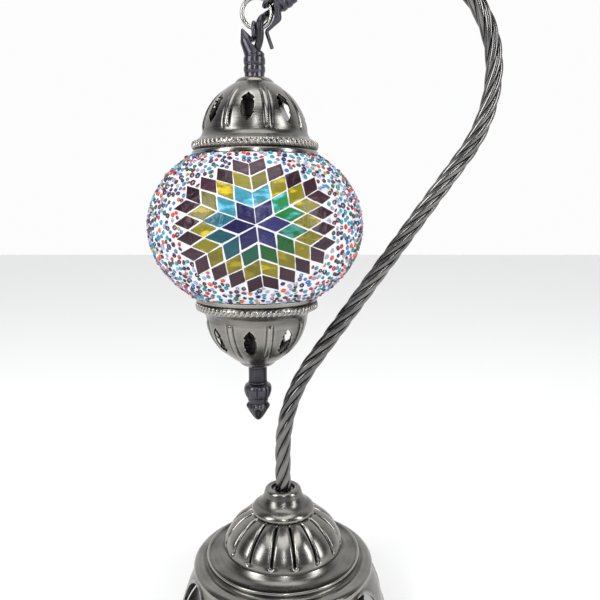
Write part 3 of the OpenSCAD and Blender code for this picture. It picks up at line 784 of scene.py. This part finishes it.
def on_globe(direction, lift, star=None):
    """The point of the globe's surface in a direction, lifted by some mm."""
    d = direction
    if star is not None:
        d = star_turn(star) @ d
    return GLOBE + Vector((d.x * (WIDE + lift), d.y * (WIDE + lift), d.z * (HIGH + lift)))


def star_place(direction, star):
    """Where a direction lies in a star, in tile edges."""
    d = star_turn(star).inverted() @ direction
    turn = math.acos(max(-1, min(1, d.x)))
    side = math.hypot(d.y, d.z) + 1e-12
    return Vector((d.z / side, -d.y / side)) * (turn * WIDE / TILE)


def along_edges(p):
    """How far a place in a star lies along each of the two edges of its sector's tiles."""
    angle = (math.atan2(p.y, p.x) - STAR_TILT) % (math.pi / 3)
    v = p.length * math.sin(angle) / math.sin(math.pi / 3)
    return p.length * math.cos(angle) - v / 2, v


def in_star(p):
    """Is a place, in tile edges, on one of the star's tiles?"""
    u, v = along_edges(p)
    return math.floor(u) + math.floor(v) <= 3


AROUND = [Vector((math.cos(a * math.tau / 8), math.sin(a * math.tau / 8))) for a in range(8)]


def on_tile(direction, inset):
    """Is a direction under a tile, further in than the inset from the tile's edges?"""
    for star in range(STARS):
        p = star_place(direction, star)
        if p.length < STAR_REACH and in_star(p):
            u, v = along_edges(p)
            return min(u % 1, 1 - u % 1, v % 1, 1 - v % 1) > inset
    return False


def near_star(direction, margin):
    """Does a direction lie on a star, or within the margin, in mm, of one?"""
    for star in range(STARS):
        p = star_place(direction, star)
        if p.length < STAR_REACH:
            if in_star(p) or any(in_star(p + way * margin / TILE) for way in AROUND):
                return True
    return False


# %% [markdown]
# Tiles, beads and notches are each one small shape that is modelled once and copied many times.
# Thousands of objects would be slow, so the copies are joined in one mesh, and each copy brings
# its own vertices and may carry a number, such as its shade, as an attribute.


# %% Many copies of one small shape, each with its own vertices
def copies(name, template, moves, values=None):
    """Join copies of a mesh: each move maps the template's vertices to their places in mm."""
    corners = [vertex.co.copy() for vertex in template.vertices]
    sides = [tuple(polygon.vertices) for polygon in template.polygons]
    places, faces = [], []
    for index, move in enumerate(moves):
        places += [move(corner) * MM for corner in corners]
        faces += [tuple(v + index * len(corners) for v in side) for side in sides]
    mesh = bpy.data.meshes.new(name)
    mesh.from_pydata(places, [], faces)
    for key, numbers in (values or {}).items():
        layer = mesh.attributes.new(key, "FLOAT", "POINT")
        layer.data.foreach_set("value", np.repeat(np.array(numbers, dtype=np.float32), len(corners)))
    piece = bpy.data.objects.new(name, mesh)
    bpy.context.collection.objects.link(piece)
    return piece


def small_shape(name, build, edit=None):
    """Build a primitive with bpy.ops, edit it, and keep only its mesh."""
    bpy.ops.object.select_all(action="DESELECT")
    build()
    piece = bpy.context.object
    piece.name = name
    if edit:
        bpy.ops.object.mode_set(mode="EDIT")
        bpy.ops.mesh.select_all(action="SELECT")
        edit()
        bpy.ops.object.mode_set(mode="OBJECT")
    mesh = piece.data.copy()
    mesh.transform(Matrix.Translation(piece.location))
    bpy.data.objects.remove(piece, do_unlink=True)
    return mesh


# %% [markdown]
# A tile is a rhombus of sheet glass, nipped by hand. One chamfered slab is stretched to each
# rhombus, with its corners slightly wrong and its thickness uneven, as hand-cut glass is. A ring of
# tiles shares one colour. Its shade changes across the star: indigo is lighter to the right, a
# painted highlight, teal is lighter towards the top and greener towards the lower right, and every
# tile also varies a little at random.


# %% One tile, cut 180 times
def tile_cube():
    bpy.ops.mesh.primitive_cube_add(size=1, location=(0.5, 0.5, 0.5))


def tile_chamfer():
    bpy.ops.mesh.bevel(offset=0.05, segments=2, affect="EDGES")


tile_slab = small_shape("tile", tile_cube, tile_chamfer)


def tile_move(a, b, sector, star):
    """Stretch the slab to the tile that starts a and b edges from its star's middle."""
    shrink = GROUT / (TILE * math.sin(math.pi / 3)) / 2
    wrong = [Vector((random.uniform(-1, 1), random.uniform(-1, 1))) * 0.045 for _ in range(4)]
    rock = [random.uniform(-0.12, 0.05) for _ in range(4)]

    def move(corner):
        weights = ((1 - corner.x) * (1 - corner.y), corner.x * (1 - corner.y), corner.x * corner.y,
                   (1 - corner.x) * corner.y)
        off = sum((w * k for w, k in zip(wrong, weights)), Vector((0, 0)))
        u = a + shrink + corner.x * (1 - 2 * shrink) + off.x
        v = b + shrink + corner.y * (1 - 2 * shrink) + off.y
        lift = corner.z * (TILE_THICK + sum(r * k for r, k in zip(rock, weights)))
        return on_globe(star_direction(u, v, sector), lift, star)

    return move


def ring_of_tiles(name, ring, material, node, look):
    moves, shades, tints = [], [], []
    for star in range(STARS):
        for sector in range(6):
            for a in range(ring):
                b = ring - 1 - a
                moves.append(tile_move(a, b, sector, star))
                middle = star_direction(a + 0.5, b + 0.5, sector)
                shade, tint = look(-middle.y / 0.6, middle.z / 0.6)
                shades.append(min(1, max(0, shade + random.uniform(-0.18, 0.18))))
                tints.append(min(1, max(0, tint + random.uniform(-0.25, 0.25))))
    piece = copies(name, tile_slab, moves, {"shade": shades, "tint": tints})
    return finish_piece(piece, material, "lantern", node, angle=25)


RINGS = {  # how the shade and the tint change over the star, from its middle at (0, 0)
    # indigo is lighter to the right: a painted highlight where the light falls on the star
    "indigo": lambda x, y: (0.35 - x * 1.5, 0.2),
    "teal": lambda x, y: (0.35 + y * 1.4, 0.3 - x * 2.5 - y * 1.2),
    "gold": lambda x, y: (0.5 + random.uniform(-0.3, 0.3), 0.4),
    "plum": lambda x, y: (0.45 + random.uniform(-0.3, 0.3), 0.3),
}
for ring, (colour, look) in enumerate(RINGS.items(), 1):
    ring_of_tiles("star_" + colour, ring, tile_glass[colour], "tiles_" + colour, look)

# %% [markdown]
# Plaster fills the gaps between the tiles nearly to their tops and covers the rest of the globe in
# a thin bed for the beads. It is one turned skin. Each vertex is lifted by what is above it, so the
# plaster sinks under a tile and rises between two, and the fingers' work leaves small lumps.

# %% Plaster, thick between the tiles and thin under the beads
PLASTER_REACH, ROUGH = 0.803, 0.07  # how high it goes, as part of the globe, and its lumps in mm
BETWEEN_TILES, UNDER_BEADS, UNDER_TILE = 0.95, 0.3, 0.25
heights = np.linspace(-PLASTER_REACH, PLASTER_REACH, 150)
plaster_skin = turned("plaster_skin", [(WIDE * math.cos(math.asin(s)), HIGH * s) for s in heights], 360, 1)
for vertex in plaster_skin.data.vertices:
    d = Vector((vertex.co.x / WIDE, vertex.co.y / WIDE, vertex.co.z / HIGH)) / MM
    lift = BETWEEN_TILES if near_star(d, 0.7) else UNDER_BEADS
    if on_tile(d, 0.11):
        lift = UNDER_TILE
    lift += random.uniform(-ROUGH, ROUGH)
    vertex.co = on_globe(d, lift) * MM
finish_piece(plaster_skin, plaster, "lantern", "plaster_coat", angle=60)

# %% [markdown]
# The maker sprinkles loose beads on the wet plaster, and they stick where they land. Particles
# would let them overlap, so they are thrown in code: a random spot on the globe, kept only if it is
# clear of the stars and of the beads already there. A grid of cells keeps that search short.


# %% Throwing the beads
BEAD_REACH, BEAD_CELL = 0.795, 4  # how high beads go, as part of the globe, and a cell's size in mm


def throw_beads(tries=90000):
    """The place, direction and size, in mm, of every bead that sticks."""
    chance = random.Random(41)
    cells, kept = {}, []
    for _ in range(tries):
        height = chance.uniform(-BEAD_REACH, BEAD_REACH)
        angle = chance.uniform(0, math.tau)
        across = math.sqrt(1 - height * height)
        d = Vector((across * math.cos(angle), across * math.sin(angle), height))
        size = chance.choice((1.3, 1.45, 1.6, 1.75, 1.95))
        p = on_globe(d, UNDER_BEADS)
        cell = tuple(int(c // BEAD_CELL) for c in p)
        crowd = [q for i in (-1, 0, 1) for j in (-1, 0, 1) for k in (-1, 0, 1)
                 for q in cells.get((cell[0] + i, cell[1] + j, cell[2] + k), ())]
        if any((p - q).length < (size + r) * 0.98 for q, r in crowd):
            continue
        if near_star(d, size + 0.3):
            continue
        cells.setdefault(cell, []).append((p, size))
        kept.append((p, d, size))
    return kept


beads = throw_beads()
print(len(beads), "beads")

# %% [markdown]
# Two kinds of bead stick: small rings, which show a pale hole when they face outwards, and round
# ones. Most are ring-shaped, and some colours are mostly round. Each bead is turned a little at
# random and sunk so far that none stands higher than the skin of beads that the model allows.

# %% Bead shapes and colours
ring_bead = small_shape("ring_bead", lambda: bpy.ops.mesh.primitive_torus_add(
    major_radius=0.66, minor_radius=0.29, major_segments=10, minor_segments=6))
round_bead = small_shape("round_bead", lambda: bpy.ops.mesh.primitive_uv_sphere_add(
    segments=8, ring_count=6, radius=0.92))
BEADS = {  # each colour, its share of the beads, and how many of them are ring-shaped
    "navy": ((0.006, 0.009, 0.10), 18, 0.8), "maroon": ((0.10, 0.004, 0.02), 14, 0.85),
    "red": ((0.60, 0.012, 0.010), 8, 0.25), "orange": ((0.80, 0.10, 0.012), 6, 0.2),
    "turquoise": ((0.008, 0.33, 0.45), 13, 0.3), "sky": ((0.04, 0.22, 0.60), 8, 0.3),
    "green": ((0.003, 0.15, 0.06), 8, 0.3), "clear": ((0.42, 0.44, 0.60), 18, 0.85),
    "smoke": ((0.06, 0.055, 0.085), 10, 1.0), "amber": ((0.50, 0.34, 0.05), 2, 0.4),
}


def bead_move(p, d, size, ring):
    normal = Vector((d.x / WIDE, d.y / WIDE, d.z / HIGH)).normalized()
    wobble = Vector([random.gauss(0, 0.28 if ring else 1) for _ in range(3)])
    turn = (normal + wobble).to_track_quat("Z", "Y").to_matrix()
    rise = min(0.25 * size, 1.05 - (0.40 if ring else 0.86) * size)
    return lambda corner: p + normal * rise + turn @ (corner * size)


sorted_beads = {key: ([], []) for key in BEADS}
for p, d, size in beads:
    key = random.choices(list(BEADS), [BEADS[k][1] for k in BEADS])[0]
    ring = random.random() < BEADS[key][2]
    sorted_beads[key][0 if ring else 1].append(bead_move(p, d, size, ring))
for key, (ring_moves, round_moves) in sorted_beads.items():
    material = bead_glass("bead_" + key, BEADS[key][0])
    for shape, moves, template in (("ring", ring_moves, ring_bead), ("round", round_moves, round_bead)):
        if moves:
            piece = copies(f"beads_{key}_{shape}", template, moves)
            finish_piece(piece, material, "lantern", "bead_coat", angle=80)

# %% [markdown]
# ## The caps
# The two caps are the same pressed shell: eight pierced windows, with a raised rib between each
# pair. The shell is turned once, the ribs are pressed into it, and the windows are cut with slugs.
# The bottom cap is a copy turned upside down, and its normals are flipped back outwards.

# %% Cap shell
CAP = [
    (38.6, 0), (38.4, 1.8), (37.3, 3.1), (38.1, 5), (37.6, 7), (36, 8.4), (33.4, 10.4), (32, 13.2),
    (31.7, 16.5), (30.8, 20.5), (28.7, 26), (25.5, 31), (22, 35), (18, 38.4), (14.4, 41), (12.3, 42.2),
    (10.8, 44), (8.6, 45.3), (5.15, 45.3),
]
TOP_RIM, BOTTOM_RIM, CAP_WINDOWS = 305.4, 219.2, 8
WINDOW_MIDDLE, FIRST_WINDOW = 25.5, math.radians(85.5)
CAP_WINDOW = [
    (0, 8.6), (1.3, 7.2), (2.6, 6.4), (3.9, 4.9), (3.0, 3.8), (3.9, 2.6), (3.9, -1.4), (3.0, -2.6),
    (3.9, -3.8), (2.4, -6.2), (0, -8.6), (-2.4, -6.2), (-3.9, -3.8), (-3.0, -2.6), (-3.9, -1.4),
    (-3.9, 2.6), (-3.0, 3.8), (-3.9, 4.9), (-2.6, 6.4), (-1.3, 7.2),
]


def rib(azimuth, radius, h):
    """Raise a rounded bar half-way between the windows, with a groove on each side of it."""
    pitch = math.tau / CAP_WINDOWS
    across = abs((azimuth - FIRST_WINDOW) % pitch - pitch / 2) * radius
    ends = 1 / (1 + math.exp(-(h - 14.5) * 2)) / (1 + math.exp((h - 36) * 1.2))
    bar = 0.65 / (1 + math.exp((across - 1.25) * 6))
    groove = 0.35 * math.exp(-((across - 2.1) ** 2) / 0.25)
    return radius + ends * (bar - groove), h


def cap(name):
    shell = turned(name, list(reversed(CAP)), 384, 4)
    press(shell, rib)
    walled(shell, 1.0)
    outline = [(x, WINDOW_MIDDLE + h) for x, h in CAP_WINDOW]
    azimuths = [FIRST_WINDOW + i * math.tau / CAP_WINDOWS for i in range(CAP_WINDOWS)]
    return cut_away(shell, [slug("window", outline, 18, 45, azimuth) for azimuth in azimuths])


top_shell = cap("top_cap_shell")
bottom_shell = top_shell.copy()
bottom_shell.data = top_shell.data.copy()
bottom_shell.name = "bottom_cap_shell"
bpy.context.collection.objects.link(bottom_shell)
top_shell.data.transform(Matrix.Translation(Vector((LANTERN_X, 0, TOP_RIM)) * MM))
upside_down = Matrix.Diagonal((1, 1, -1, 1))
bottom_shell.data.transform(Matrix.Translation(Vector((LANTERN_X, 0, BOTTOM_RIM)) * MM) @ upside_down)
bottom_shell.data.flip_normals()
for shell, node in ((top_shell, "top_cap"), (bottom_shell, "bottom_cap")):
    add_wear(shell, 0.6, 2.4, 2)
    finish_piece(shell, antique_brass, "lantern", node)

# %% [markdown]
# A knurling wheel rolls a rope of slanted notches round each cap's rim. Pressing them into the
# shell would need a far finer mesh, so each notch is a small stretched ball, leaning along the rim
# and half sunk in it.

# %% Notched ring at each rim
NOTCHES, NOTCH_RADIUS, NOTCH_HEIGHT, NOTCH_LEAN = 72, 37.6, 5.6, 0.5
NOTCH_STRETCH = Matrix.Diagonal((1.1, 1.15, 2.5))
notch_ball = small_shape(
    "notch", lambda: bpy.ops.mesh.primitive_uv_sphere_add(segments=8, ring_count=6, radius=1))


def notches(name, rim, way):
    """Set the notches round a rim; way is 1 for the top cap and -1 for the bottom one."""
    moves = []
    for i in range(NOTCHES):
        azimuth = i * math.tau / NOTCHES
        lean = Matrix.Rotation(NOTCH_LEAN * way, 3, "X")
        shape = Matrix.Rotation(azimuth, 3, "Z") @ lean @ NOTCH_STRETCH
        x, y = NOTCH_RADIUS * math.cos(azimuth) + LANTERN_X, NOTCH_RADIUS * math.sin(azimuth)
        centre = Vector((x, y, rim + way * NOTCH_HEIGHT))
        moves.append(lambda corner, shape=shape, centre=centre: centre + shape @ corner)
    piece = copies(name, notch_ball, moves)
    add_wear(piece, 0.8, 0.6, 0)
    return finish_piece(piece, antique_brass, "lantern", angle=60)


notches("top_cap_notches", TOP_RIM, 1)
notches("bottom_cap_notches", BOTTOM_RIM, -1)

# %% [markdown]
# ## Castings, ring and flex
# The claw at the arm's end and the lantern's hook are small zinc castings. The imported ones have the
# right form but sharp corners. A bevel would fail on so many small facets, so a copy of each is
# merged, remeshed in small cubes and smoothed, which rounds every corner as a worn mould does.


# %% Castings with rounded corners
def recast(name, node, voxel=0.35, rounds=9):
    """A copy of a packed casting with its corners rounded, from cubes of the voxel size in mm."""
    mesh = frame["nodes"][node].data.copy()
    piece = bpy.data.objects.new(name, mesh)
    bpy.context.collection.objects.link(piece)
    bpy.ops.object.select_all(action="DESELECT")
    bpy.context.view_layer.objects.active = piece
    piece.select_set(True)
    bpy.ops.object.mode_set(mode="EDIT")
    bpy.ops.mesh.select_all(action="SELECT")
    bpy.ops.mesh.remove_doubles(threshold=1e-6)
    bpy.ops.object.mode_set(mode="OBJECT")
    modify(piece, "REMESH", mode="VOXEL", voxel_size=voxel * MM)
    modify(piece, "SMOOTH", factor=0.5, iterations=rounds)
    add_wear(piece, 0.6, 1.6, 2)
    return finish_piece(piece, gunmetal, frame["nodes"][node]["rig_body"], node, angle=60)


recast("arm_claw", "arm_hook")
recast("lantern_hook", "hanger_hook")

# %% [markdown]
# The finial closes the lantern below: a ball, a ring of leaves and a bud, cast in one and screwed
# up under a short turned neck. It is turned smooth, and then creased and leafed by pressing.

# %% Finial
FINIAL = [
    (3, 165.1), (6.4, 165.1), (8.3, 163.9), (9.1, 161.8), (8.9, 159.4), (7.8, 156.4), (7.2, 156),
    (6.6, 153.8), (6.3, 152.2), (7.2, 150.8), (7.4, 149.4), (6.5, 147.6), (5.2, 145.4), (3.4, 142.6),
    (1.4, 140.5), (0, 140),
]
FINIAL_DROP = -3.3


def lobed(azimuth, radius, z):
    """Crease the ball and the bud four times, and pull four leaves out of the ring between them."""
    ball = math.exp(-(((z - 160.5) / 4) ** 2))
    leaf = math.exp(-(((z - 150.3) / 1.7) ** 2))
    cone = math.exp(-(((z - 146) / 3) ** 2))
    crease = abs(math.sin(4 * azimuth)) ** 0.5 - 1
    leaves = (max(0, math.cos(4 * azimuth)) - 0.7) * 1.2
    return radius + (0.8 * ball + 0.5 * cone) * crease + leaf * leaves, z


finial_tip = turned("finial_tip", FINIAL, 96, 4)
press(finial_tip, lobed)
finial_tip.data.transform(Matrix.Translation(Vector((LANTERN_X, 0, FINIAL_DROP)) * MM))
add_wear(finial_tip, 0.55, 1.6, 1)
finish_piece(finial_tip, gunmetal, "lantern", "finial", angle=50)
NECK = [
    (5, 161.9), (6.1, 161.9), (6.15, 162.8), (5.9, 163.8), (5.9, 171.6), (6.15, 172.8), (6.1, 173.7),
    (5, 173.8),
]
finial_collar = turned("finial_collar", NECK, 64, 3)
finial_collar.data.transform(Matrix.Translation(Vector((LANTERN_X, 0, 0)) * MM))
add_wear(finial_collar, 0.4, 1.5, 1)
finish_piece(finial_collar, gunmetal, "lantern", "finial_neck")

# %% [markdown]
# The split ring is a loop of round steel wire, cut once, with its ends sprung a little apart. A
# torus gives the wire, and the faces of one narrow wedge are deleted and the two ends filled.

# %% Split ring
RING_CENTRE, CUT, GAP = Vector((-14.3, 0, 388)), math.radians(140), math.radians(3.5)
bpy.ops.object.select_all(action="DESELECT")
bpy.ops.mesh.primitive_torus_add(
    major_radius=8.75 * MM, minor_radius=1.33 * MM, major_segments=144, minor_segments=20,
    location=(0, 0, 0), rotation=(0, 0, 0))
split_ring = bpy.context.object
split_ring.name = "split_ring"
split_ring.data.transform(Matrix.Rotation(CUT, 4, "Z"))
bpy.ops.object.mode_set(mode="EDIT")
bpy.ops.mesh.select_all(action="DESELECT")
bpy.ops.object.mode_set(mode="OBJECT")
for polygon in split_ring.data.polygons:
    angle = (math.atan2(polygon.center.y, polygon.center.x) - CUT + math.pi) % math.tau - math.pi
    polygon.select = 0 < angle < GAP
bpy.ops.object.mode_set(mode="EDIT")
bpy.ops.mesh.delete(type="FACE")
bpy.ops.mesh.select_all(action="SELECT")
bpy.ops.mesh.fill_holes(sides=0)
bpy.ops.object.mode_set(mode="OBJECT")
upright = Matrix.Rotation(math.pi / 2, 4, "X")
split_ring.data.transform(Matrix.Translation(RING_CENTRE * MM) @ upright)
finish_piece(split_ring, ring_steel, "ring", "jump_ring", angle=40)

# %% [markdown]
# The lampholder's flex leaves the claw, winds past the ring and goes into the lantern's hook. It is
# a short cord that is fixed at both ends, and it crosses both hinges. So it is made as a curve in
# two halves that meet at the ring.

# %% Flex in two halves
FLEX = [
    (1.6, 0.4, 396), (-1.5, 2, 393.6), (-5.6, 4.4, 390), (-9.4, 3, 387), (-11.4, -2, 384),
    (-12.4, -4.4, 380.4), (-12.2, -3.8, 375.6), (-12.8, -2.4, 371.6), (-14.2, -1, 367.8),
    (-15.4, -0.2, 364.4),
]
flex_path = smooth(FLEX, 8)


def flex_half(name, points):
    curve = bpy.data.curves.new(name, "CURVE")
    curve.dimensions = "3D"
    curve.bevel_depth = 2.28 * MM
    curve.bevel_resolution = 4
    curve.use_fill_caps = True
    line = curve.splines.new("POLY")
    line.points.add(len(points) - 1)
    for point, place in zip(line.points, points):
        point.co = (*(place * MM), 1)
    piece = bpy.data.objects.new(name, curve)
    bpy.context.collection.objects.link(piece)
    bpy.ops.object.select_all(action="DESELECT")
    bpy.context.view_layer.objects.active = piece
    piece.select_set(True)
    bpy.ops.object.convert(target="MESH")
    return finish_piece(bpy.context.object, black_flex, None, "drop_flex", angle=60)


half = len(flex_path) // 2
upper_flex = flex_half("flex_upper", flex_path[: half + 1])
lower_flex = flex_half("flex_lower", flex_path[half:])
meeting = tuple(flex_path[half] * MM)
tuple(flex_path[0] * MM)
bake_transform(upper_flex)
tuple(flex_path[-1] * MM)
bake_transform(lower_flex)

# %% [markdown]
# ## The solids that stay
# The pieces inside the base and the lantern keep the imported shapes, which are right as they are:
# plain turned, stamped or moulded parts. Each gets the finish of its real material.

# %% Give every carried-over solid its finish
NODE_FINISH = {
    "felt_pad": felt, "base_plate": zinc_steel, "plate_screws": zinc_steel, "base_weight": weight_iron,
    "stem_tube": zinc_steel, "stem_washer": zinc_steel, "stem_nut": zinc_steel, "cord_grommet": dark_resin,
    "arm_nut": dark_steel, "arm_flex": black_flex, "hanger_nipple": zinc_steel, "hanger_nut": zinc_steel,
    "top_clip": ring_steel, "holder_flex": black_flex, "holder_cap": dark_resin, "holder_body": dark_resin,
    "holder_sleeve": bright_brass, "holder_contact": bright_brass, "bulb_cap": bright_brass,
    "bulb_insulator": dark_resin, "bulb_contact": zinc_steel, "bulb_stem": bulb_glass,
    "bulb_filament": filament_wire, "bulb_glass": bulb_glass, "globe_glass": globe_glass,
    "bottom_clip": ring_steel, "bottom_stud": zinc_steel, "bottom_nut": zinc_steel,
}
for name, node in frame["nodes"].items():
    if name in NODE_FINISH:
        node.data.materials.clear()
        node.data.materials.append(NODE_FINISH[name])
